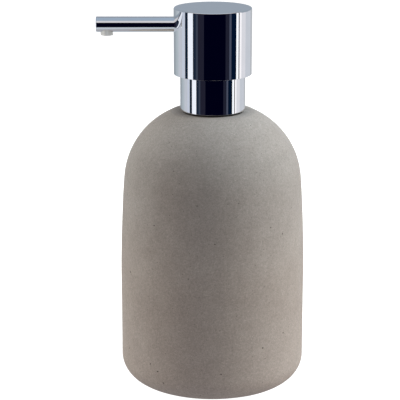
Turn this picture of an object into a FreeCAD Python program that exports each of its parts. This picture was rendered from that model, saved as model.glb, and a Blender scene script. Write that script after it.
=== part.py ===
"""Soap pump dispenser: a cast concrete bottle with a screw-on, press-down lotion pump.

Millimetres, +Z up. The origin is the centre of the foot pad's underside, on the table.
The spout points along -X. Each function makes one physical piece as one solid.
"""
import FreeCAD, Part
import math
import os

from FreeCAD import Vector

# Concrete bottle
BODY_RADIUS = 44.3
CAST_BASE_Z = 0.3            # the foot pad holds the casting this far off the table
BASE_CORNER_RADIUS = 11.9
SIDE_TOP_Z = 50.5            # the side is a true cylinder up to here
UPPER_SIDE_RADIUS = 675.0    # slow inward curve above it
UPPER_SIDE_TURN = math.radians(4.32)
SHOULDER_RADIUS = 37.7
LAND_Z = 133.1               # flat land round the mouth, under the closure
CAST_WALL = 8.0
CAST_FLOOR = 10.0
CAVITY_CORNER_RADIUS = 8.0
LINER_WALL = 1.2
MOUTH_RADIUS = 13.1

# Foot pad
PAD_RADIUS = 28.0
PAD_THICKNESS = 1.8
PAD_EDGE_CHAMFER = 0.3

# Threaded neck, a 28 mm one-turn finish
NECK_TOP_Z = 146.9
NECK_BORE = 10.4
NECK_ROOT_RADIUS = 12.65
THREAD_RADIUS = 13.6
THREAD_PITCH = 4.23
THREAD_TURNS = 1.25
THREAD_FOOT = 2.0            # width of the ridge at its foot and at its crest
THREAD_CREST = 0.8
THREAD_OVERLAP = 0.3         # how far the ridge starts inside the neck's wall
THREAD_TOP_GAP = 2.0
NECK_FLANGE_RADIUS = 14.4
NECK_FLANGE_THICKNESS = 0.6
NECK_WELD_DEPTH = 6.0        # how far the neck reaches down inside the bottle's mouth

# Closure
COLLAR_RADIUS = 15.4
COLLAR_WALL = 0.5
COLLAR_BOTTOM_Z = 134.05
COLLAR_TOP_Z = 152.1
COLLAR_EDGE_RADIUS = 0.15
NUT_BORE = 13.8
NUT_BOTTOM_Z = 135.3
NUT_ROOF_Z = 149.4
CLOSURE_HOLE = 9.4

# Pump cylinder and what is fixed in it
GASKET_THICKNESS = 1.0
GASKET_BORE = 7.4
GASKET_RADIUS = 12.4
FLANGE_THICKNESS = 1.4
FLANGE_RADIUS = 12.6
HOUSING_RADIUS = 5.6
CYLINDER_BORE = 4.7
CYLINDER_FLOOR_Z = 99.0
HOUSING_CONE_TOP_Z = 97.5    # the outside narrows between these two
HOUSING_CONE_BOTTOM_Z = 95.0
INLET_RADIUS = 3.8           # outside of the narrow lower end
INLET_BOTTOM_Z = 80.0
SOCKET_TOP_Z = 90.0          # the dip tube is pushed in up to here
BUSHING_BOTTOM_Z = 143.0
BUSHING_FLANGE_RADIUS = 8.8
BUSHING_FLANGE_THICKNESS = 0.8
CAGE_THICKNESS = 1.2
CAGE_BORE = 0.7
CAGE_PORTS = 4
CAGE_PORT_RADIUS = 0.6
CAGE_PORT_CIRCLE = 1.75
DIP_TUBE_RADIUS = 2.5
DIP_TUBE_BORE = 1.75
DIP_TUBE_BOTTOM_Z = 13.5

# Check valves: a ball on a 45 degree seat, with a hair of clearance
SEAT_CLEARANCE = 0.1
INLET_BALL_RADIUS = 2.0
INLET_SEAT_BORE = 1.3
INLET_SEAT_Z = 94.0
INLET_CHAMBER = 2.6
OUTLET_BALL_RADIUS = 1.9
OUTLET_SEAT_BORE = 1.5
OUTLET_SEAT_Z = 162.0
OUTLET_CHAMBER = 2.5
BALL_STOP_Z = 166.5
BALL_STOP_THICKNESS = 1.6
BALL_STOP_BORE = 0.5
BALL_STOP_PORTS = 3
BALL_STOP_PORT_RADIUS = 0.45
BALL_STOP_PORT_CIRCLE = 1.5

# Plunger
STEM_RADIUS = 3.5
STEM_NECK_RADIUS = 2.8       # where the piston seal sits
STEM_TOP_Z = 170.0
PISTON_TOP_Z = 142.9
PISTON_BOTTOM_Z = 134.0
PISTON_WAIST_RADIUS = 4.1
PISTON_LIP = 1.5
RETAINER_RADIUS = 4.3
STEM_BOTTOM_Z = 131.8
RUNNING_CLEARANCE = 0.05

# Return spring
SPRING_WIRE = 0.8
SPRING_MEAN_RADIUS = 3.6
SPRING_TURNS = 9.0
SPRING_END_GAP = 0.05

# Press head
HEAD_RADIUS = 18.4
HEAD_WALL = 0.8
HEAD_BOTTOM_Z = 151.15
HEAD_TOP_Z = 182.5
HEAD_EDGE_RADIUS = 0.6
HEAD_RIM_CHAMFER = 0.05
CORE_SKIRT_BORE = 16.2
CORE_SKIRT_BOTTOM_Z = 153.2
CORE_PLATE_Z = 179.2
BOSS_RADIUS = 6.0
BOSS_BOTTOM_Z = 164.5
CHANNEL_BLOCK_RADIUS = 5.2
CHANNEL_BORE = 1.6
RISER_BORE = 2.0
RISER_TOP_Z = 176.8
RIB_THICKNESS = 1.2
RIB_BOTTOM_Z = 171.0
RIB_ANGLES = (0, 60, 120, 240, 300)
JOIN_DEPTH = 0.2             # how far ribs and the channel run into the skirt
SOCKET_END_GAP = 0.2         # between the stem's top and the end of its socket

# Spout
SPOUT_Z = 174.5
SPOUT_RADIUS = 3.65
SPOUT_WALL = 0.6
SPOUT_TIP_X = -54.7
SPOUT_ROOT_X = -11.0         # inner end, inside the press head
END_CAP_THICKNESS = 0.5
END_PLUG_LENGTH = 1.5
END_CAP_CHAMFER = 0.25
NOZZLE_X = -49.7
NOZZLE_RADIUS = 2.95
NOZZLE_BORE = 1.3
NOZZLE_BOTTOM_Z = 169.5
NOZZLE_SEAT_Z = 172.7

# Worked out from the driving dimensions
UPPER_CENTRE_R = BODY_RADIUS - UPPER_SIDE_RADIUS
SHOULDER_CENTRE_R = UPPER_CENTRE_R + (UPPER_SIDE_RADIUS - SHOULDER_RADIUS) * math.cos(UPPER_SIDE_TURN)
SHOULDER_CENTRE_Z = SIDE_TOP_Z + (UPPER_SIDE_RADIUS - SHOULDER_RADIUS) * math.sin(UPPER_SIDE_TURN)
GASKET_TOP_Z = NECK_TOP_Z + GASKET_THICKNESS
FLANGE_TOP_Z = GASKET_TOP_Z + FLANGE_THICKNESS
COLLAR_LINING = COLLAR_RADIUS - COLLAR_WALL
COLLAR_ROOF_Z = COLLAR_TOP_Z - COLLAR_WALL
HEAD_LINING = HEAD_RADIUS - HEAD_WALL
HEAD_ROOF_Z = HEAD_TOP_Z - HEAD_WALL
STEM_SOCKET = STEM_RADIUS + RUNNING_CLEARANCE
CAGE_TOP_Z = CYLINDER_FLOOR_Z + CAGE_THICKNESS
SPOUT_LINING = SPOUT_RADIUS - SPOUT_WALL


def outline(start, *steps):
    """Closed wire in the XZ plane. A step is a point (r, z), or (way, end) for an arc through way."""
    edges = []
    here = Vector(start[0], 0, start[1])
    for step in steps + (start,):
        if isinstance(step[0], tuple):
            way, end = [Vector(r, 0, z) for r, z in step]
            edges.append(Part.Arc(here, way, end).toShape())
        else:
            end = Vector(step[0], 0, step[1])
            edges.append(Part.LineSegment(here, end).toShape())
        here = end
    return Part.Wire(edges)


def turned(start, *steps):
    """Solid of revolution about Z from a closed outline."""
    face = Part.Face(outline(start, *steps))
    return face.revolve(Vector(0, 0, 0), Vector(0, 0, 1), 360)


def ring(inner, outer, low, high):
    """Plain ring or washer about Z."""
    return turned((inner, low), (outer, low), (outer, high), (inner, high))


def rod_z(radius, low, high, x=0.0, y=0.0):
    """Round rod along Z."""
    return Part.makeCylinder(radius, high - low, Vector(x, y, low))


def rod_x(radius, low, high):
    """Round rod along the spout's axis."""
    return Part.makeCylinder(radius, high - low, Vector(low, 0, SPOUT_Z), Vector(1, 0, 0))


def on_circle(centre, radius, angle):
    """Point on a circle in the XZ plane, with the angle measured from +X towards +Z."""
    return (centre[0] + radius * math.cos(angle), centre[1] + radius * math.sin(angle))


def bottle_side(inset, floor_z, corner, mouth):
    """Steps up the bottle's side, inset from its outer face, from the floor to the mouth radius."""
    side = BODY_RADIUS - inset
    corner_centre = (side - corner, floor_z + corner)
    upper_centre = (UPPER_CENTRE_R, SIDE_TOP_Z)
    upper = UPPER_SIDE_RADIUS - inset
    shoulder_centre = (SHOULDER_CENTRE_R, SHOULDER_CENTRE_Z)
    shoulder = SHOULDER_RADIUS - inset
    last = math.acos((mouth - SHOULDER_CENTRE_R) / shoulder)
    middle = (UPPER_SIDE_TURN + last) / 2
    upper_end = on_circle(upper_centre, upper, UPPER_SIDE_TURN)
    return [
        (side - corner, floor_z),
        (on_circle(corner_centre, corner, -math.pi / 4), (side, floor_z + corner)),
        (side, SIDE_TOP_Z),
        (on_circle(upper_centre, upper, UPPER_SIDE_TURN / 2), upper_end),
        (on_circle(shoulder_centre, shoulder, middle), on_circle(shoulder_centre, shoulder, last)),
    ]


def land_radius():
    """Where the shoulder's arc meets the flat land round the mouth."""
    rise = LAND_Z - SHOULDER_CENTRE_Z
    return SHOULDER_CENTRE_R + math.sqrt(SHOULDER_RADIUS**2 - rise**2)


def helix_sweep(section, radius, pitch, turns, low):
    """Section wire swept up a helix. The path is a chain of arcs of at most half a turn."""
    arcs = math.ceil(2 * turns)
    rise = pitch * turns / arcs
    path = []
    for number in range(arcs):
        arc = Part.makeHelix(pitch, rise, radius)
        arc.rotate(Vector(0, 0, 0), Vector(0, 0, 1), 360 * turns * number / arcs)
        arc.translate(Vector(0, 0, low + rise * number))
        path += arc.Edges
    return Part.Wire(path).makePipeShell([section], True, True)


def body_shell():
    """Concrete casting: domed cylinder, hollow, with a recess below for the foot pad."""
    outer_side = bottle_side(0, CAST_BASE_Z, BASE_CORNER_RADIUS, land_radius())
    outer = turned((0, CAST_BASE_Z), *outer_side, (0, LAND_Z))
    floor_z = CAST_BASE_Z + CAST_FLOOR
    cavity_side = bottle_side(CAST_WALL, floor_z, CAVITY_CORNER_RADIUS, MOUTH_RADIUS)
    cavity = turned((0, floor_z), *cavity_side, (MOUTH_RADIUS, LAND_Z), (0, LAND_Z))
    recess = rod_z(PAD_RADIUS, CAST_BASE_Z, PAD_THICKNESS)
    return outer.cut(cavity).cut(recess)


def inner_bottle():
    """Thin blow-moulded bottle that the concrete is cast round. It keeps the soap off the casting."""
    floor_z = CAST_BASE_Z + CAST_FLOOR
    inside_mouth = MOUTH_RADIUS - LINER_WALL
    outer_side = bottle_side(CAST_WALL, floor_z, CAVITY_CORNER_RADIUS, MOUTH_RADIUS)
    outer = turned((0, floor_z), *outer_side, (MOUTH_RADIUS, LAND_Z), (0, LAND_Z))
    inset = CAST_WALL + LINER_WALL
    corner = CAVITY_CORNER_RADIUS - LINER_WALL
    inner_side = bottle_side(inset, floor_z + LINER_WALL, corner, inside_mouth)
    inner = turned((0, floor_z + LINER_WALL), *inner_side, (inside_mouth, LAND_Z), (0, LAND_Z))
    return outer.cut(inner)


def neck_insert():
    """Neck welded into the bottle's mouth, with a flange on the casting's land and one turn of thread."""
    embedded = MOUTH_RADIUS - LINER_WALL
    flange_top = LAND_Z + NECK_FLANGE_THICKNESS
    neck = turned(
        (NECK_BORE, LAND_Z - NECK_WELD_DEPTH),
        (embedded, LAND_Z - NECK_WELD_DEPTH),
        (embedded, LAND_Z),
        (NECK_FLANGE_RADIUS, LAND_Z),
        (NECK_FLANGE_RADIUS, flange_top),
        (NECK_ROOT_RADIUS, flange_top),
        (NECK_ROOT_RADIUS, NECK_TOP_Z),
        (NECK_BORE, NECK_TOP_Z),
    )
    start_z = NECK_TOP_Z - THREAD_TOP_GAP - THREAD_PITCH * THREAD_TURNS
    inside = NECK_ROOT_RADIUS - THREAD_OVERLAP
    corners = [
        Vector(inside, 0, start_z - THREAD_FOOT / 2),
        Vector(THREAD_RADIUS, 0, start_z - THREAD_CREST / 2),
        Vector(THREAD_RADIUS, 0, start_z + THREAD_CREST / 2),
        Vector(inside, 0, start_z + THREAD_FOOT / 2),
    ]
    section = Part.makePolygon(corners + corners[:1])
    thread = helix_sweep(section, NECK_ROOT_RADIUS, THREAD_PITCH, THREAD_TURNS, start_z)
    return neck.fuse(thread).removeSplitter()


def foot_pad():
    """Soft disc glued into the recess under the casting. The dispenser stands on it."""
    edge = PAD_EDGE_CHAMFER
    return turned(
        (0, 0),
        (PAD_RADIUS - edge, 0),
        (PAD_RADIUS, edge),
        (PAD_RADIUS, PAD_THICKNESS),
        (0, PAD_THICKNESS),
    )


def neck_gasket():
    """Washer that seals the pump's flange on the neck's rim."""
    return ring(GASKET_BORE, GASKET_RADIUS, NECK_TOP_Z, GASKET_TOP_Z)


def closure_nut():
    """Screw cap that holds the pump down, inside the bright collar."""
    return turned(
        (NUT_BORE, NUT_BOTTOM_Z),
        (COLLAR_LINING, NUT_BOTTOM_Z),
        (COLLAR_LINING, COLLAR_ROOF_Z),
        (CLOSURE_HOLE, COLLAR_ROOF_Z),
        (CLOSURE_HOLE, NUT_ROOF_Z),
        (NUT_BORE, NUT_ROOF_Z),
    )


def collar_sleeve():
    """Bright metal sleeve pressed over the screw cap."""
    edge = COLLAR_EDGE_RADIUS
    top_centre = (COLLAR_RADIUS - edge, COLLAR_TOP_Z - edge)
    bottom_centre = (COLLAR_RADIUS - edge, COLLAR_BOTTOM_Z + edge)
    return turned(
        (COLLAR_LINING, COLLAR_BOTTOM_Z),
        (COLLAR_RADIUS - edge, COLLAR_BOTTOM_Z),
        (on_circle(bottom_centre, edge, -math.pi / 4), (COLLAR_RADIUS, COLLAR_BOTTOM_Z + edge)),
        (COLLAR_RADIUS, COLLAR_TOP_Z - edge),
        (on_circle(top_centre, edge, math.pi / 4), (COLLAR_RADIUS - edge, COLLAR_TOP_Z)),
        (CLOSURE_HOLE, COLLAR_TOP_Z),
        (CLOSURE_HOLE, COLLAR_ROOF_Z),
        (COLLAR_LINING, COLLAR_ROOF_Z),
    )


def pump_housing():
    """Pump cylinder: flange on top, bore, inlet valve chamber and dip tube socket in one moulding."""
    cone = INLET_CHAMBER - INLET_SEAT_BORE
    return turned(
        (DIP_TUBE_RADIUS, INLET_BOTTOM_Z),
        (INLET_RADIUS, INLET_BOTTOM_Z),
        (INLET_RADIUS, HOUSING_CONE_BOTTOM_Z),
        (HOUSING_RADIUS, HOUSING_CONE_TOP_Z),
        (HOUSING_RADIUS, GASKET_TOP_Z),
        (FLANGE_RADIUS, GASKET_TOP_Z),
        (FLANGE_RADIUS, FLANGE_TOP_Z),
        (CYLINDER_BORE, FLANGE_TOP_Z),
        (CYLINDER_BORE, CYLINDER_FLOOR_Z),
        (INLET_CHAMBER, CYLINDER_FLOOR_Z),
        (INLET_CHAMBER, INLET_SEAT_Z + cone),
        (INLET_SEAT_BORE, INLET_SEAT_Z),
        (INLET_SEAT_BORE, SOCKET_TOP_Z),
        (DIP_TUBE_RADIUS, SOCKET_TOP_Z),
    )


def guide_bushing():
    """Bushing snapped into the top of the cylinder. It guides the stem and stops the piston."""
    flange_top = FLANGE_TOP_Z + BUSHING_FLANGE_THICKNESS
    return turned(
        (STEM_SOCKET, BUSHING_BOTTOM_Z),
        (CYLINDER_BORE, BUSHING_BOTTOM_Z),
        (CYLINDER_BORE, FLANGE_TOP_Z),
        (BUSHING_FLANGE_RADIUS, FLANGE_TOP_Z),
        (BUSHING_FLANGE_RADIUS, flange_top),
        (STEM_SOCKET, flange_top),
    )


def drill_ports(disc, count, radius, circle):
    """Cut a circle of round ports through a flat disc."""
    box = disc.BoundBox
    for number in range(count):
        angle = 2 * math.pi * number / count
        port = rod_z(radius, box.ZMin, box.ZMax, circle * math.cos(angle), circle * math.sin(angle))
        disc = disc.cut(port)
    return disc


def ball_cage():
    """Disc over the inlet ball. It keeps the ball in and is the return spring's lower seat."""
    disc = ring(CAGE_BORE, CYLINDER_BORE, CYLINDER_FLOOR_Z, CAGE_TOP_Z)
    return drill_ports(disc, CAGE_PORTS, CAGE_PORT_RADIUS, CAGE_PORT_CIRCLE)


def outlet_ball_stop():
    """Disc pressed into the stem over the outlet ball."""
    disc = ring(BALL_STOP_BORE, OUTLET_CHAMBER, BALL_STOP_Z, BALL_STOP_Z + BALL_STOP_THICKNESS)
    return drill_ports(disc, BALL_STOP_PORTS, BALL_STOP_PORT_RADIUS, BALL_STOP_PORT_CIRCLE)


def seated_ball(radius, seat_bore, seat_z):
    """Ball resting on a 45 degree seat whose lower edge is at seat_bore and seat_z."""
    centre_z = seat_z - seat_bore + math.sqrt(2) * (radius + SEAT_CLEARANCE)
    return Part.makeSphere(radius, Vector(0, 0, centre_z))


def inlet_ball():
    """Steel ball of the inlet valve."""
    return seated_ball(INLET_BALL_RADIUS, INLET_SEAT_BORE, INLET_SEAT_Z)


def outlet_ball():
    """Steel ball of the outlet valve."""
    return seated_ball(OUTLET_BALL_RADIUS, OUTLET_SEAT_BORE, OUTLET_SEAT_Z)


def dip_tube():
    """Suction tube, cut at 45 degrees at the bottom so that it can't seal against the floor."""
    tube = ring(DIP_TUBE_BORE, DIP_TUBE_RADIUS, DIP_TUBE_BOTTOM_Z, SOCKET_TOP_Z)
    block = Part.makeBox(20, 20, 20, Vector(-10, -10, -20))
    block.rotate(Vector(0, 0, 0), Vector(0, 1, 0), 45)
    block.translate(Vector(0, 0, DIP_TUBE_BOTTOM_Z + DIP_TUBE_RADIUS))
    return tube.cut(block)


def return_spring():
    """Compression spring between the inlet cage and the piston."""
    half_wire = SPRING_WIRE / 2
    low = CAGE_TOP_Z + SPRING_END_GAP + half_wire
    high = STEM_BOTTOM_Z - SPRING_END_GAP - half_wire
    pitch = (high - low) / SPRING_TURNS
    along = Vector(0, 2 * math.pi * SPRING_MEAN_RADIUS, pitch)
    section = Part.Wire(Part.makeCircle(half_wire, Vector(SPRING_MEAN_RADIUS, 0, low), along))
    return helix_sweep(section, SPRING_MEAN_RADIUS, pitch, SPRING_TURNS, low)


def piston_stem():
    """Hollow stem, necked below for the piston seal, with the outlet valve's seat near its top."""
    cone = OUTLET_CHAMBER - OUTLET_SEAT_BORE
    return turned(
        (OUTLET_SEAT_BORE, STEM_BOTTOM_Z),
        (STEM_NECK_RADIUS, STEM_BOTTOM_Z),
        (STEM_NECK_RADIUS, PISTON_TOP_Z),
        (STEM_RADIUS, PISTON_TOP_Z),
        (STEM_RADIUS, STEM_TOP_Z),
        (OUTLET_CHAMBER, STEM_TOP_Z),
        (OUTLET_CHAMBER, OUTLET_SEAT_Z + cone),
        (OUTLET_SEAT_BORE, OUTLET_SEAT_Z),
    )


def piston_seal():
    """Two-lipped piston that wipes the cylinder bore."""
    lip_radius = CYLINDER_BORE - RUNNING_CLEARANCE
    return turned(
        (STEM_NECK_RADIUS, PISTON_BOTTOM_Z),
        (lip_radius, PISTON_BOTTOM_Z),
        (lip_radius, PISTON_BOTTOM_Z + PISTON_LIP),
        (PISTON_WAIST_RADIUS, PISTON_BOTTOM_Z + 2 * PISTON_LIP),
        (PISTON_WAIST_RADIUS, PISTON_TOP_Z - 2 * PISTON_LIP),
        (lip_radius, PISTON_TOP_Z - PISTON_LIP),
        (lip_radius, PISTON_TOP_Z),
        (STEM_NECK_RADIUS, PISTON_TOP_Z),
    )


def piston_retainer():
    """Snap ring under the piston seal. The spring pushes up on it."""
    return ring(STEM_NECK_RADIUS, RETAINER_RADIUS, STEM_BOTTOM_Z, PISTON_BOTTOM_Z)


def head_shell():
    """Bright cylindrical cap of the press head, open below, with a hole for the spout."""
    edge = HEAD_EDGE_RADIUS
    top_centre = (HEAD_RADIUS - edge, HEAD_TOP_Z - edge)
    rim = HEAD_RIM_CHAMFER
    cap = turned(
        (0, HEAD_ROOF_Z),
        (HEAD_LINING, HEAD_ROOF_Z),
        (HEAD_LINING, HEAD_BOTTOM_Z),
        (HEAD_RADIUS - rim, HEAD_BOTTOM_Z),
        (HEAD_RADIUS, HEAD_BOTTOM_Z + rim),
        (HEAD_RADIUS, HEAD_TOP_Z - edge),
        (on_circle(top_centre, edge, math.pi / 4), (HEAD_RADIUS - edge, HEAD_TOP_Z)),
        (0, HEAD_TOP_Z),
    )
    return cap.cut(rod_x(SPOUT_RADIUS, -HEAD_RADIUS - 1, -HEAD_RADIUS / 2))


def head_core():
    """Moulded insert in the press head: stem socket, soap channel, top plate, skirt and ribs."""
    plate = rod_z(HEAD_LINING, CORE_PLATE_Z, HEAD_ROOF_Z)
    skirt = ring(CORE_SKIRT_BORE, HEAD_LINING, CORE_SKIRT_BOTTOM_Z, CORE_PLATE_Z)
    boss = rod_z(BOSS_RADIUS, BOSS_BOTTOM_Z, CORE_PLATE_Z)
    reach = CORE_SKIRT_BORE + JOIN_DEPTH
    channel_block = rod_x(CHANNEL_BLOCK_RADIUS, -reach, 0)
    core = plate.fuse([skirt, boss, channel_block])
    rib_corner = Vector(0, -RIB_THICKNESS / 2, RIB_BOTTOM_Z)
    for angle in RIB_ANGLES:
        rib = Part.makeBox(reach, RIB_THICKNESS, CORE_PLATE_Z - RIB_BOTTOM_Z, rib_corner)
        rib.rotate(Vector(0, 0, 0), Vector(0, 0, 1), angle)
        core = core.fuse(rib)
    socket = rod_z(STEM_SOCKET, BOSS_BOTTOM_Z, STEM_TOP_Z + SOCKET_END_GAP)
    riser = rod_z(RISER_BORE, STEM_TOP_Z, RISER_TOP_Z)
    channel = rod_x(CHANNEL_BORE, SPOUT_ROOT_X, 0)
    spout_socket = rod_x(SPOUT_RADIUS, -HEAD_RADIUS, SPOUT_ROOT_X)
    return core.cut([socket, riser, channel, spout_socket]).removeSplitter()


def spout_tube():
    """Bright straight tube, with a round hole below near its end for the nozzle."""
    outer_x = SPOUT_TIP_X + END_CAP_THICKNESS
    tube = rod_x(SPOUT_RADIUS, outer_x, SPOUT_ROOT_X).cut(rod_x(SPOUT_LINING, outer_x, SPOUT_ROOT_X))
    return tube.cut(rod_z(NOZZLE_RADIUS, NOZZLE_BOTTOM_Z, SPOUT_Z, NOZZLE_X))


def spout_liner():
    """Plastic tube inside the bright one that carries the soap and holds the nozzle."""
    plug_end = SPOUT_TIP_X + END_CAP_THICKNESS + END_PLUG_LENGTH
    tube = rod_x(SPOUT_LINING, plug_end, SPOUT_ROOT_X).cut(rod_x(CHANNEL_BORE, plug_end, SPOUT_ROOT_X))
    nozzle_hole = rod_z(NOZZLE_RADIUS, NOZZLE_BOTTOM_Z, NOZZLE_SEAT_Z, NOZZLE_X)
    drop_hole = rod_z(NOZZLE_BORE, NOZZLE_BOTTOM_Z, SPOUT_Z, NOZZLE_X)
    return tube.cut([nozzle_hole, drop_hole])


def spout_end_plug():
    """Bright cap that closes the spout's end, with a bevelled rim and a plug inside the tube."""
    cap_end = SPOUT_TIP_X + END_CAP_THICKNESS
    small = SPOUT_RADIUS - END_CAP_CHAMFER
    tip = Vector(SPOUT_TIP_X, 0, SPOUT_Z)
    bevel = Part.makeCone(small, SPOUT_RADIUS, END_CAP_CHAMFER, tip, Vector(1, 0, 0))
    rim = rod_x(SPOUT_RADIUS, SPOUT_TIP_X + END_CAP_CHAMFER, cap_end)
    plug = rod_x(SPOUT_LINING, cap_end, cap_end + END_PLUG_LENGTH)
    return bevel.fuse([rim, plug]).removeSplitter()


def nozzle_tip():
    """Short clear nozzle that points down from the spout's end."""
    tip = ring(NOZZLE_BORE, NOZZLE_RADIUS, NOZZLE_BOTTOM_Z, NOZZLE_SEAT_Z)
    tip.translate(Vector(NOZZLE_X, 0, 0))
    return tip


PIECES = [
    body_shell,
    inner_bottle,
    neck_insert,
    foot_pad,
    neck_gasket,
    closure_nut,
    collar_sleeve,
    pump_housing,
    guide_bushing,
    ball_cage,
    inlet_ball,
    dip_tube,
    return_spring,
    piston_stem,
    piston_seal,
    piston_retainer,
    outlet_ball,
    outlet_ball_stop,
    head_shell,
    head_core,
    spout_tube,
    spout_liner,
    spout_end_plug,
    nozzle_tip,
]

os.makedirs("parts", exist_ok=True)
for piece in PIECES:
    shape = piece()
    solid = shape.Solids[0]
    if len(shape.Solids) != 1 or not solid.isValid():
        raise SystemExit(f"{piece.__name__} is not one valid solid")
    solid.exportStep(f"parts/{piece.__name__}.step")
    box = solid.BoundBox
    print(f"{piece.__name__:18s} {solid.Volume / 1000:9.3f} cm3  z {box.ZMin:.2f} to {box.ZMax:.2f}")
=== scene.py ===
import math
import random

import bmesh
import bpy
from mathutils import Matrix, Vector, noise


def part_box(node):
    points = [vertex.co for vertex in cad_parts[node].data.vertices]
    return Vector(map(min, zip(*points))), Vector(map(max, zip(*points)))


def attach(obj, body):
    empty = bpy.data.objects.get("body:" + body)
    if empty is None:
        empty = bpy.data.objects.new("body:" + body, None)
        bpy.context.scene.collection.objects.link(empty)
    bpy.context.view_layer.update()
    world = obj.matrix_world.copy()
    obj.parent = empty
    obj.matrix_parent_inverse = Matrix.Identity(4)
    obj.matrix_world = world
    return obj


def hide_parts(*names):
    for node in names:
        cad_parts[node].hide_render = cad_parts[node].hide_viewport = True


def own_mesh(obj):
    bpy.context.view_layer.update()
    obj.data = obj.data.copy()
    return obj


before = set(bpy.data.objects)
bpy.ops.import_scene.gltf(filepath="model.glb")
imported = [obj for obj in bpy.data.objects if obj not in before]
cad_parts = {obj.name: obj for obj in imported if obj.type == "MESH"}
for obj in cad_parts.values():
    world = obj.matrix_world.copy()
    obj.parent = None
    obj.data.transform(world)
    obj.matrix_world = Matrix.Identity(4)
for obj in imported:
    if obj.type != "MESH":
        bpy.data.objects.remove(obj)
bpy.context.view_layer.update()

MM = 0.001

# The casting's outline, as in the CAD source
BODY_LOW, BODY_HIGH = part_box("body_shell")
BODY_RADIUS = BODY_HIGH.x
BASE_CORNER_RADIUS = 11.9 * MM
SIDE_TOP_Z = 50.5 * MM
UPPER_SIDE_RADIUS = 675.0 * MM
UPPER_SIDE_TURN = math.radians(4.32)
SHOULDER_RADIUS = 37.7 * MM
CAST_WALL = 8.0 * MM
CAST_FLOOR = 10.0 * MM
CAVITY_CORNER_RADIUS = 8.0 * MM
MOUTH_RADIUS = 13.1 * MM
PAD_RADIUS = 28.0 * MM
PAD_TOP_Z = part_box("foot_pad")[1].z

# Return spring, as in the CAD source
SPRING_WIRE = 0.8 * MM
SPRING_TURNS = 9
SPRING_STEPS = 32            # rings of the mesh in one turn
WIRE_SIDES = 10
UP = Vector((0, 0, 1))

# The casting's mesh
BODY_COLUMNS = 360
OUTER_STEP = 0.9 * MM
INNER_STEP = 5.0 * MM
CENTRE_HOLE = 1.0 * MM       # the hidden floors stop here instead of at a point
WAVINESS = 0.05 * MM
WAVE_SCALE = 45              # waves per metre
PORE_COUNT = 110
PORE_RADII = [0.18 * MM, 0.20 * MM, 0.24 * MM, 0.28 * MM, 0.34 * MM, 0.42 * MM, 0.50 * MM, 0.58 * MM]
PORE_DEPTH = 1.6             # times its radius
PORE_STAGES = ((0.55, 0.85), (0.45, 0.60))  # share of the depth, and how much the pore narrows
PORE_SPACING = 4.0 * MM
PORE_SEED = 11
PORE_FREE_BELOW = 8          # rings without pores at the foot and at the land
PORE_FREE_ABOVE = 4
SHARP_ANGLE = math.radians(50)

# Camera
CAMERA_PLACE = (-6.02 * MM, -769.3 * MM, 300.8 * MM)
CAMERA_PITCH = math.radians(15.384)
CAMERA_LENS = 149.0

# Studio
TENT_RADIUS = 2.0
TENT_CENTRE = Vector((0, 0, 0.165))
TENT_STEP = 4.0              # degrees between a card's mesh lines
BACKDROP_GAP = 0.5           # how far the dark card stands behind the others
LIGHT_AIM = Vector((0, 0, 0.09))
LIGHT_DISTANCE = 1.0
FLOOR_HALF = 5.0
WALL_RADIUS = 4.8
WALL_HEIGHT = 8.0


# ---------------------------------------------------------------- shader helpers


def new_material(name):
    """A material with an empty principled shader. Returns the material and the shader."""
    material = bpy.data.materials.new(name)
    material.use_nodes = True
    return material, material.node_tree.nodes["Principled BSDF"]


def add_node(material, kind, **values):
    """Adds a node; values are its properties, or its input sockets by name."""
    node = material.node_tree.nodes.new(kind)
    for key, value in values.items():
        socket = key.replace("_", " ")
        if hasattr(node, key):
            setattr(node, key, value)
        elif socket in node.inputs:
            node.inputs[socket].default_value = value
        else:
            node.inputs[socket.title()].default_value = value
    return node


def join(material, source, target):
    """Links two sockets."""
    material.node_tree.links.new(source, target)


def object_point(material):
    return add_node(material, "ShaderNodeTexCoord").outputs["Object"]


def noise_field(material, scale, detail=3.0, roughness=0.55, stretch=None):
    """Noise in object space, in cells per metre."""
    node = add_node(material, "ShaderNodeTexNoise", Scale=scale, Detail=detail, Roughness=roughness)
    point = object_point(material)
    if stretch:
        mapping = add_node(material, "ShaderNodeMapping", Scale=stretch)
        join(material, point, mapping.inputs["Vector"])
        point = mapping.outputs["Vector"]
    join(material, point, node.inputs["Vector"])
    return node.outputs["Fac"]


def cell_field(material, scale):
    """Distance to the nearest random point, in cells."""
    node = add_node(material, "ShaderNodeTexVoronoi", Scale=scale)
    join(material, object_point(material), node.inputs["Vector"])
    return node.outputs["Distance"]


def ramp(material, source, stops):
    """Colour ramp through (place, colour) stops."""
    node = add_node(material, "ShaderNodeValToRGB")
    points = node.color_ramp.elements
    while len(points) < len(stops):
        points.new(0.5)
    for point, (place, colour) in zip(points, stops):
        point.position = place
        point.color = (*colour, 1.0)
    join(material, source, node.inputs["Fac"])
    return node.outputs["Color"]


def spread(material, source, low, high, to_low, to_high):
    """Maps a value's range to another range, clamped."""
    node = add_node(material, "ShaderNodeMapRange")
    for name, value in (("From Min", low), ("From Max", high), ("To Min", to_low), ("To Max", to_high)):
        node.inputs[name].default_value = value
    join(material, source, node.inputs["Value"])
    return node.outputs["Result"]


def mixed(material, factor, first, second, blend="MIX"):
    """Mixes two colours; each is a socket or a constant."""
    node = add_node(material, "ShaderNodeMix", data_type="RGBA", blend_type=blend)
    for socket, value in ((node.inputs[0], factor), (node.inputs[6], first), (node.inputs[7], second)):
        if isinstance(value, bpy.types.NodeSocket):
            join(material, value, socket)
        else:
            socket.default_value = value
    return node.outputs[2]


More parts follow.
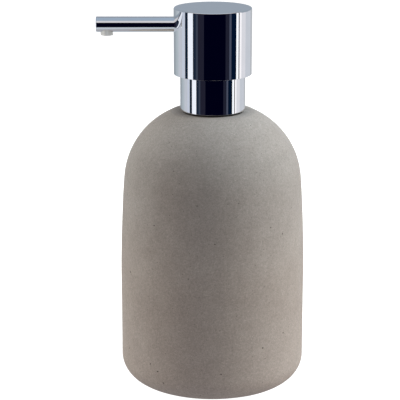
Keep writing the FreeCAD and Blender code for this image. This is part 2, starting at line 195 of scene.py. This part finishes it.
def bump(material, shader, layers):
    """Chain of bump nodes from (height socket, strength, distance) layers."""
    normal = None
    for height, strength, distance in layers:
        node = add_node(material, "ShaderNodeBump", Strength=strength, Distance=distance)
        join(material, height, node.inputs["Height"])
        if normal:
            join(material, normal, node.inputs["Normal"])
        normal = node.outputs["Normal"]
    join(material, normal, shader.inputs["Normal"])


def dress(node_name, material):
    """Gives a CAD node its material."""
    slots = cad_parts[node_name].data.materials
    slots.clear()
    slots.append(material)


# ---------------------------------------------------------------- materials


def concrete():
    """Warm grey cast concrete: faint clouds, fine sand grain, and dark and pale specks, with painted shade
    and light that change with height.
    """
    material, shader = new_material("concrete_cast")
    clouds = noise_field(material, 30, 4, 0.6)
    patches = noise_field(material, 140, 4, 0.6)
    sand = noise_field(material, 800, 2, 0.7)
    grain = noise_field(material, 1900, 3, 0.75)
    tone = ramp(material, clouds, [(0.30, (0.274, 0.252, 0.234)), (0.70, (0.300, 0.281, 0.263))])
    patch_tone = ramp(material, patches, [(0.35, (0.955, 0.95, 0.948)), (0.65, (1.03, 1.03, 1.028))])
    tone = mixed(material, 1.0, tone, patch_tone, "MULTIPLY")
    sand_tone = ramp(material, sand, [(0.30, (0.91, 0.91, 0.91)), (0.70, (1.09, 1.09, 1.09))])
    tone = mixed(material, 1.0, tone, sand_tone, "MULTIPLY")
    grain_tone = ramp(material, grain, [(0.32, (0.81, 0.81, 0.81)), (0.70, (1.18, 1.18, 1.18))])
    tone = mixed(material, 1.0, tone, grain_tone, "MULTIPLY")
    dark_specks = spread(material, cell_field(material, 260), 0.045, 0.085, 0.7, 0.0)
    tone = mixed(material, dark_specks, tone, (0.115, 0.104, 0.095, 1))
    pale_specks = spread(material, cell_field(material, 390), 0.06, 0.11, 0.45, 0.0)
    tone = mixed(material, pale_specks, tone, (0.44, 0.42, 0.395, 1))
    # Painted shade and light by height: darker and cooler across the upper side and shoulder, lighter at
    # the foot and at the land round the mouth. It stands in for how the light falls.
    height = add_node(material, "ShaderNodeSeparateXYZ")
    join(material, object_point(material), height.inputs["Vector"])
    level = spread(material, height.outputs["Z"], 0.0, 0.13, 0.0, 1.0)
    painted_height_shade = ramp(
        material,
        level,
        [
            (0.0, (1.03, 0.995, 0.985)),
            (0.45, (1.0, 0.985, 0.98)),
            (0.70, (0.93, 0.945, 0.965)),
            (0.88, (0.88, 0.905, 0.93)),
            (1.0, (1.01, 1.035, 1.06)),
        ],
    )
    tone = mixed(material, 1.0, tone, painted_height_shade, "MULTIPLY")
    join(material, tone, shader.inputs["Base Color"])
    join(material, spread(material, patches, 0.3, 0.7, 0.84, 0.96), shader.inputs["Roughness"])
    shader.inputs["Specular IOR Level"].default_value = 0.22
    fine_pits = spread(material, cell_field(material, 700), 0.06, 0.16, 0.0, 1.0)
    bump(
        material,
        shader,
        [
            (patches, 0.10, 0.15 * MM),
            (sand, 0.25, 0.08 * MM),
            (grain, 0.35, 0.05 * MM),
            (fine_pits, 0.30, 0.04 * MM),
        ],
    )
    return material


def painted_pore_shade():
    """The inside of an air pore: concrete darkened as painted shade, standing in for the shadow in the pit.
    """
    material, shader = new_material("concrete_pore_painted_shade")
    grain = noise_field(material, 2400, 2, 0.6)
    tone = ramp(material, grain, [(0.3, (0.045, 0.040, 0.036)), (0.7, (0.085, 0.076, 0.069))])
    join(material, tone, shader.inputs["Base Color"])
    shader.inputs["Roughness"].default_value = 0.95
    bump(material, shader, [(grain, 0.5, 0.05 * MM)])
    return material


def chrome():
    """Mirror chrome with a faint polish haze and hairline scratches."""
    material, shader = new_material("chrome_mirror")
    haze = noise_field(material, 140, 4, 0.6)
    scratches = noise_field(material, 900, 2, 0.5, stretch=(1.0, 1.0, 0.04))
    tone = ramp(material, haze, [(0.3, (0.86, 0.865, 0.875)), (0.7, (0.90, 0.905, 0.915))])
    join(material, tone, shader.inputs["Base Color"])
    shader.inputs["Metallic"].default_value = 1.0
    join(material, spread(material, haze, 0.35, 0.75, 0.018, 0.045), shader.inputs["Roughness"])
    bump(material, shader, [(scratches, 0.03, 0.002 * MM)])
    return material


def plastic(name, low, high, roughness, subsurface=0.0, transmission=0.0):
    """Moulded plastic: slight cloudiness and a fine moulded skin."""
    material, shader = new_material(name)
    clouds = noise_field(material, 60, 3, 0.5)
    skin = noise_field(material, 420, 3, 0.6)
    join(material, ramp(material, clouds, [(0.3, low), (0.7, high)]), shader.inputs["Base Color"])
    gloss = spread(material, skin, 0.3, 0.7, roughness * 0.85, roughness * 1.2)
    join(material, gloss, shader.inputs["Roughness"])
    shader.inputs["Subsurface Weight"].default_value = subsurface
    shader.inputs["Subsurface Radius"].default_value = (2 * MM, 2 * MM, 2 * MM)
    shader.inputs["Transmission Weight"].default_value = transmission
    bump(material, shader, [(skin, 0.12, 0.02 * MM)])
    return material


def foam(name, low, high):
    """Foam rubber or expanded plastic, with small open cells."""
    material, shader = new_material(name)
    cells = cell_field(material, 1800)
    clouds = noise_field(material, 150, 3, 0.6)
    join(material, ramp(material, clouds, [(0.3, low), (0.7, high)]), shader.inputs["Base Color"])
    join(material, spread(material, cells, 0.0, 0.6, 0.95, 0.8), shader.inputs["Roughness"])
    bump(material, shader, [(cells, 0.6, 0.12 * MM)])
    return material


def drawn_steel():
    """Drawn stainless steel, with faint lines along the wire."""
    material, shader = new_material("steel_drawn")
    lines = noise_field(material, 2200, 2, 0.6, stretch=(1.0, 1.0, 6.0))
    tone = ramp(material, lines, [(0.3, (0.50, 0.50, 0.51)), (0.7, (0.66, 0.66, 0.67))])
    join(material, tone, shader.inputs["Base Color"])
    shader.inputs["Metallic"].default_value = 1.0
    join(material, spread(material, lines, 0.3, 0.7, 0.18, 0.32), shader.inputs["Roughness"])
    bump(material, shader, [(lines, 0.15, 0.01 * MM)])
    return material


# ---------------------------------------------------------------- mesh helpers


def add_object(name, data):
    """Object in the scene, from a mesh, a light or a camera."""
    item = bpy.data.objects.new(name, data)
    bpy.context.scene.collection.objects.link(item)
    return item


def mesh_from(name, builder, material):
    """Object from a bmesh, with its material."""
    mesh = bpy.data.meshes.new(name)
    builder.to_mesh(mesh)
    builder.free()
    mesh.materials.append(material)
    return add_object(name, mesh)


def smooth_piece(name, builder, material):
    """Smooth-shaded object from a closed bmesh, with its sharp corners kept."""
    bmesh.ops.recalc_face_normals(builder, faces=builder.faces)
    for face in builder.faces:
        face.smooth = True
    piece = mesh_from(name, builder, material)
    piece.data.set_sharp_from_angle(angle=SHARP_ANGLE)
    return piece


def arc_points(centre, radius, start, end, step):
    """Points of an arc in the (r, z) plane, both ends included, about step apart."""
    count = max(2, math.ceil(abs(end - start) * radius / step))
    points = []
    for number in range(count + 1):
        angle = start + (end - start) * number / count
        points.append((centre[0] + radius * math.cos(angle), centre[1] + radius * math.sin(angle)))
    return points


def line_points(start, end, step):
    """Points of a straight run, both ends included."""
    length = math.hypot(end[0] - start[0], end[1] - start[1])
    count = max(1, math.ceil(length / step))
    points = []
    for number in range(count + 1):
        share = number / count
        points.append((start[0] + (end[0] - start[0]) * share, start[1] + (end[1] - start[1]) * share))
    return points


def shoulder_centre():
    """Centre of the shoulder's arc, tangent to the upper side."""
    reach = UPPER_SIDE_RADIUS - SHOULDER_RADIUS
    centre_r = BODY_RADIUS - UPPER_SIDE_RADIUS + reach * math.cos(UPPER_SIDE_TURN)
    centre_z = SIDE_TOP_Z + reach * math.sin(UPPER_SIDE_TURN)
    return centre_r, centre_z


def bottle_side(inset, floor_z, corner, mouth, step):
    """Outline of the casting's side, inset from its outer face, from the floor up to the mouth radius."""
    side = BODY_RADIUS - inset
    upper_r = BODY_RADIUS - UPPER_SIDE_RADIUS
    centre = shoulder_centre()
    shoulder = SHOULDER_RADIUS - inset
    last = math.acos((mouth - centre[0]) / shoulder)
    points = arc_points((side - corner, floor_z + corner), corner, -math.pi / 2, 0, step)
    points += line_points((side, floor_z + corner), (side, SIDE_TOP_Z), step)[1:]
    points += arc_points((upper_r, SIDE_TOP_Z), UPPER_SIDE_RADIUS - inset, 0, UPPER_SIDE_TURN, step)[1:]
    points += arc_points(centre, shoulder, UPPER_SIDE_TURN, last, step)[1:]
    return points


def lathe(builder, outline, columns):
    """Closed surface of revolution about Z from a closed outline of (r, z) points. Returns its rings."""
    rings = []
    for r, z in outline:
        ring = []
        for column in range(columns):
            angle = 2 * math.pi * column / columns
            ring.append(builder.verts.new((r * math.cos(angle), r * math.sin(angle), z)))
        rings.append(ring)
    for lower, upper in zip(rings, rings[1:] + rings[:1]):
        for column in range(columns):
            after = (column + 1) % columns
            builder.faces.new((lower[column], lower[after], upper[after], upper[column]))
    return rings


# ---------------------------------------------------------------- the casting


def land_radius():
    """Where the shoulder meets the flat land round the mouth."""
    centre_r, centre_z = shoulder_centre()
    return centre_r + math.sqrt(SHOULDER_RADIUS**2 - (BODY_HIGH.z - centre_z) ** 2)


def sink_pore(builder, vert, radius, depth):
    """Opens a small round pit at a vertex of a dense surface."""
    inward = -vert.normal.copy()
    cut = bmesh.ops.bevel(builder, geom=[vert], offset=radius, segments=3, profile=0.5, affect="VERTICES")
    faces = [face for face in cut["faces"] if face.is_valid]
    for share, shrink in PORE_STAGES:
        extruded = bmesh.ops.extrude_face_region(builder, geom=faces)
        bmesh.ops.delete(builder, geom=faces, context="FACES_ONLY")
        verts = [item for item in extruded["geom"] if isinstance(item, bmesh.types.BMVert)]
        faces = [item for item in extruded["geom"] if isinstance(item, bmesh.types.BMFace)]
        centre = sum((item.co for item in verts), Vector()) / len(verts)
        for item in verts:
            item.co = centre + (item.co - centre) * shrink + inward * depth * share
        # The pit's faces take the second material slot, the painted shade of the pore's inside.
        for item in verts:
            for face in item.link_faces:
                face.material_index = 1


def make_casting():
    """Concrete casting with a slightly uneven outer face and open air pores."""
    floor_z = BODY_LOW.z
    cavity_z = floor_z + CAST_FLOOR
    outline = line_points((PAD_RADIUS, floor_z), (BODY_RADIUS - BASE_CORNER_RADIUS, floor_z), OUTER_STEP)
    outline += bottle_side(0, floor_z, BASE_CORNER_RADIUS, land_radius(), OUTER_STEP)[1:]
    outer_count = len(outline)
    outline += line_points((land_radius(), BODY_HIGH.z), (MOUTH_RADIUS, BODY_HIGH.z), INNER_STEP)[1:]
    cavity = bottle_side(CAST_WALL, cavity_z, CAVITY_CORNER_RADIUS, MOUTH_RADIUS, INNER_STEP)
    outline += cavity[::-1]
    outline += line_points((cavity[0][0], cavity_z), (CENTRE_HOLE, cavity_z), INNER_STEP)[1:]
    outline += line_points((CENTRE_HOLE, PAD_TOP_Z), (PAD_RADIUS, PAD_TOP_Z), INNER_STEP)
    builder = bmesh.new()
    rings = lathe(builder, outline, BODY_COLUMNS)
    builder.normal_update()
    for ring in rings[2:outer_count - 1]:
        for vert in ring:
            height = noise.fractal(vert.co * WAVE_SCALE, 1.0, 2.0, 3) - 0.5
            vert.co += vert.normal * WAVINESS * (height - 0.5)
    builder.normal_update()
    picker = random.Random(PORE_SEED)
    chosen = []
    while len(chosen) < PORE_COUNT:
        ring = rings[picker.randrange(PORE_FREE_BELOW, outer_count - PORE_FREE_ABOVE)]
        vert = ring[picker.randrange(BODY_COLUMNS)]
        if all((vert.co - other.co).length > PORE_SPACING for other in chosen):
            chosen.append(vert)
    for vert in chosen:
        size = picker.choice(PORE_RADII)
        sink_pore(builder, vert, size, size * PORE_DEPTH)
    piece = smooth_piece("concrete_body", builder, concrete())
    # Second material slot: painted shade inside the pores.
    piece.data.materials.append(painted_pore_shade())
    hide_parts("body_shell")
    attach(piece, "bottle")


# ---------------------------------------------------------------- the spring


def make_spring(steel):
    """Return spring as a piece of its own, because its coils close up as the head is pressed."""
    low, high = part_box("return_spring")
    wire = SPRING_WIRE / 2
    mean = high.x - wire
    length = high.z - low.z
    builder = bmesh.new()
    steps = SPRING_TURNS * SPRING_STEPS
    rings = []
    for step in range(steps + 1):
        angle = 2 * math.pi * step / SPRING_STEPS
        outward = Vector((math.cos(angle), math.sin(angle), 0))
        middle = outward * mean
        middle.z = low.z + wire + (length - SPRING_WIRE) * step / steps
        ring = []
        for side in range(WIRE_SIDES):
            turn = 2 * math.pi * side / WIRE_SIDES
            ring.append(builder.verts.new(middle + wire * (outward * math.cos(turn) + UP * math.sin(turn))))
        rings.append(ring)
    for ring, following in zip(rings, rings[1:]):
        for side in range(WIRE_SIDES):
            beside = (side + 1) % WIRE_SIDES
            builder.faces.new((ring[side], ring[beside], following[beside], following[side]))
    builder.faces.new(rings[0][::-1])
    builder.faces.new(rings[-1])
    piece = smooth_piece("spring_coil", builder, steel)
    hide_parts("return_spring")
    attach(piece, "pump")
    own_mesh(piece)


# ---------------------------------------------------------------- CAD nodes that stay


def dress_nodes(steel):
    """Gives every CAD node that stays its material."""
    bright = chrome()
    pump_white = plastic("plastic_pump", (0.74, 0.75, 0.75), (0.80, 0.81, 0.81), 0.30, subsurface=0.15)
    clear = plastic(
        "plastic_clear",
        (0.80, 0.83, 0.84),
        (0.88, 0.90, 0.91),
        0.22,
        subsurface=0.2,
        transmission=0.35,
    )
    natural = plastic("plastic_bottle", (0.66, 0.66, 0.63), (0.74, 0.74, 0.71), 0.42, subsurface=0.15)
    # Near-black neck insert: partly its own dark plastic, partly painted shade, kept dark so that it shows
    # as the shadow line in the gap under the collar.
    black_neck_gap_shade = plastic("plastic_neck_gap_shade", (0.012, 0.012, 0.014), (0.022, 0.022, 0.025), 0.34)
    soft_white = plastic("plastic_seal", (0.80, 0.80, 0.77), (0.88, 0.88, 0.85), 0.5, subsurface=0.1)
    looks = {
        bright: ["collar_sleeve", "head_shell", "spout_tube", "spout_end_plug"],
        pump_white: [
            "closure_nut",
            "pump_housing",
            "guide_bushing",
            "ball_cage",
            "piston_stem",
            "piston_retainer",
            "outlet_ball_stop",
            "head_core",
        ],
        clear: ["dip_tube", "spout_liner", "nozzle_tip"],
        natural: ["inner_bottle"],
        black_neck_gap_shade: ["neck_insert"],
        soft_white: ["piston_seal"],
        steel: ["inlet_ball", "outlet_ball"],
        foam("foam_gasket", (0.70, 0.70, 0.68), (0.78, 0.78, 0.76)): ["neck_gasket"],
        foam("foam_foot", (0.018, 0.018, 0.018), (0.032, 0.032, 0.032)): ["foot_pad"],
    }
    for material, names in looks.items():
        for name in names:
            dress(name, material)


# ---------------------------------------------------------------- studio


def glow(name, colour):
    """Emission material for a light card."""
    material = bpy.data.materials.new(name)
    material.use_nodes = True
    nodes = material.node_tree.nodes
    nodes.clear()
    emission = nodes.new("ShaderNodeEmission")
    emission.inputs["Color"].default_value = (*colour, 1)
    emission.inputs["Strength"].default_value = 1.0
    output = nodes.new("ShaderNodeOutputMaterial")
    material.node_tree.links.new(emission.outputs[0], output.inputs[0])
    return material


def only_for(piece, *rays):
    """Leaves an object visible only to the named kinds of ray."""
    for kind in ("camera", "diffuse", "glossy", "transmission", "volume_scatter", "shadow"):
        setattr(piece, "visible_" + kind, kind in rays)


def toward(bearing, elevation):
    """Unit vector at a bearing from the camera's side (-Y) towards +X, and an elevation, in degrees."""
    a = math.radians(bearing)
    e = math.radians(elevation)
    return Vector((math.cos(e) * math.sin(a), -math.cos(e) * math.cos(a), math.sin(e)))


def tent_card(name, bearings, elevations, colour, radius=TENT_RADIUS):
    """Curved card of the light tent, seen only in reflections. The colour is what it sends out."""
    builder = bmesh.new()
    across = max(1, math.ceil((bearings[1] - bearings[0]) / TENT_STEP))
    up = max(1, math.ceil((elevations[1] - elevations[0]) / TENT_STEP))
    grid = []
    for row in range(up + 1):
        elevation = elevations[0] + (elevations[1] - elevations[0]) * row / up
        line = []
        for column in range(across + 1):
            bearing = bearings[0] + (bearings[1] - bearings[0]) * column / across
            line.append(builder.verts.new(TENT_CENTRE + toward(bearing, elevation) * radius))
        grid.append(line)
    for low, high in zip(grid, grid[1:]):
        for column in range(across):
            builder.faces.new((low[column], low[column + 1], high[column + 1], high[column]))
    card = mesh_from("tent_" + name, builder, glow("glow_" + name, colour))
    only_for(card, "glossy")


def floor_disc(name, radius, height, colour, rays):
    """Flat glowing card under the object, seen only by one kind of ray."""
    builder = bmesh.new()
    bmesh.ops.create_circle(builder, cap_ends=True, segments=64, radius=radius)
    disc = mesh_from("disc_" + name, builder, glow("glow_" + name, colour))
    disc.location.z = height
    only_for(disc, rays)


def make_tent():
    """Reflection cards: dark in front, slate and strip lights at the sides, grey behind and above."""
    tent_card("dark", (-180, 180), (-89, 89), (0.0002, 0.0004, 0.0075), TENT_RADIUS + BACKDROP_GAP)
    side_cards = [
        ("gap_left", -89.3, -78.7, (0.007, 0.015, 0.031)),
        ("strip_left", -78.7, -60.7, (0.96, 1.00, 1.09)),
        ("slate_left_a", -60.7, -51.2, (0.011, 0.020, 0.041)),
        ("slate_left_b", -51.2, -44.8, (0.042, 0.053, 0.084)),
        ("slate_left_c", -44.8, -26.2, (0.016, 0.016, 0.031)),
        ("slate_right_a", 37.2, 48.9, (0.015, 0.016, 0.031)),
        ("slate_right_b", 48.9, 55.5, (0.070, 0.082, 0.124)),
        ("teal_right", 55.5, 72.3, (0.001, 0.007, 0.025)),
        ("strip_right_a", 72.3, 80.7, (1.10, 1.12, 1.16)),
        ("gap_right", 80.7, 84.2, (0.074, 0.072, 0.076)),
        ("strip_right_b", 84.2, 92.4, (1.05, 1.03, 1.06)),
    ]
    for name, start, end, colour in side_cards:
        tent_card(name, (start, end), (-50, 24), colour)
    back_cards = [
        ("back_a", -180, -141, (0.34, 0.38, 0.42)),
        ("back_b", -141, -127, (0.43, 0.49, 0.54)),
        ("back_c", -127, -118, (0.51, 0.56, 0.61)),
        ("back_d", -118, -102, (0.56, 0.59, 0.66)),
        ("back_e", -102, -89.3, (0.59, 0.64, 0.75)),
        ("back_f", 92.4, 111, (0.76, 0.76, 0.81)),
        ("back_g", 111, 145, (0.61, 0.64, 0.70)),
        ("back_h", 145, 180, (0.49, 0.51, 0.54)),
    ]
    for name, start, end, colour in back_cards:
        tent_card(name, (start, end), (-50, 4), colour)
    tent_card("high_left", (-180, -89.3), (4, 48), (0.33, 0.38, 0.445))
    tent_card("high_right", (92.4, 180), (4, 48), (0.33, 0.38, 0.445))
    tent_card("high_back", (90, 270), (48, 60), (0.31, 0.34, 0.37))
    tent_card("high_front", (-90, 90), (31, 60), (0.70, 0.69, 0.72))
    tent_card("ceiling", (-180, 180), (60, 90), (0.36, 0.445, 0.56))
    floor_disc("table", 0.085, 0.0002, (0.39, 0.39, 0.42), "glossy")
    floor_disc("table_round", 0.235, 0.0001, (0.54, 0.585, 0.65), "glossy")


def area_light(name, bearing, elevation, size, power, colour):
    """Soft box aimed at the middle of the object. The metal doesn't reflect it."""
    data = bpy.data.lights.new(name, "AREA")
    data.shape = "RECTANGLE"
    data.size, data.size_y = size
    data.energy = power
    data.color = colour
    light = add_object(name, data)
    light.location = LIGHT_AIM + toward(bearing, elevation) * LIGHT_DISTANCE
    light.rotation_euler = (LIGHT_AIM - light.location).to_track_quat("-Z", "Y").to_euler()
    light.visible_glossy = False


def make_lights():
    """Soft boxes: two on the right, two on the left and one high on the right; and the floor's bounce."""
    area_light("soft_right", 93, 12, (0.5, 0.8), 10.0, (1.0, 0.99, 0.99))
    area_light("soft_right_front", 75, 15, (0.5, 0.8), 2.6, (1.0, 0.80, 0.42))
    area_light("soft_left", -93, 12, (0.5, 0.8), 4.8, (1.0, 0.80, 0.54))
    area_light("soft_left_back", -115, 15, (0.5, 0.8), 7.3, (0.85, 0.95, 1.0))
    area_light("soft_top_right", 95, 60, (0.6, 0.6), 6.8, (0.77, 0.92, 1.0))
    floor_disc("bounce", 0.095, 0.0003, (0.70, 0.67, 0.68), "diffuse")


def make_world():
    """Even pale light from all round, which the metal doesn't reflect."""
    world = bpy.data.worlds.new("studio")
    bpy.context.scene.world = world
    world.use_nodes = True
    background = world.node_tree.nodes["Background"]
    background.inputs["Color"].default_value = (1.0, 0.96, 0.97, 1)
    background.inputs["Strength"].default_value = 0.49
    world.cycles_visibility.glossy = False


def pale(name, glow_strength):
    """Pale studio paper with faint fibre, lifted by its own glow so that it stays an even white."""
    material, shader = new_material(name)
    fibre = noise_field(material, 30, 3, 0.5)
    tone = ramp(material, fibre, [(0.3, (0.44, 0.44, 0.44)), (0.7, (0.47, 0.47, 0.47))])
    join(material, tone, shader.inputs["Base Color"])
    shader.inputs["Roughness"].default_value = 1.0
    shader.inputs["Specular IOR Level"].default_value = 0.0
    shader.inputs["Emission Color"].default_value = (1, 1, 1, 1)
    shader.inputs["Emission Strength"].default_value = glow_strength
    return material


def make_floor():
    """Pale floor and a white wall round it, neither of which the metal reflects."""
    builder = bmesh.new()
    bmesh.ops.create_grid(builder, x_segments=8, y_segments=8, size=FLOOR_HALF)
    floor = mesh_from("studio_floor", builder, pale("paper_floor", 0.80))
    only_for(floor, "camera", "shadow", "transmission")
    builder = bmesh.new()
    bmesh.ops.create_cone(
        builder,
        cap_ends=False,
        segments=64,
        radius1=WALL_RADIUS,
        radius2=WALL_RADIUS,
        depth=WALL_HEIGHT,
    )
    wall = mesh_from("studio_wall", builder, glow("glow_wall", (1, 1, 1)))
    only_for(wall, "camera", "transmission")


def make_camera():
    """Camera at the photograph's viewing angle."""
    data = bpy.data.cameras.new("camera")
    data.lens = CAMERA_LENS
    data.sensor_width = 36.0
    data.clip_start = 0.01
    data.clip_end = 50
    camera = add_object("camera", data)
    camera.location = CAMERA_PLACE
    camera.rotation_euler = (math.pi / 2 - CAMERA_PITCH, 0, 0)
    bpy.context.scene.camera = camera


make_camera()
make_world()
make_floor()
make_tent()
make_lights()
make_casting()
steel = drawn_steel()
make_spring(steel)
dress_nodes(steel)

bpy.context.scene.view_settings.view_transform = "Standard"
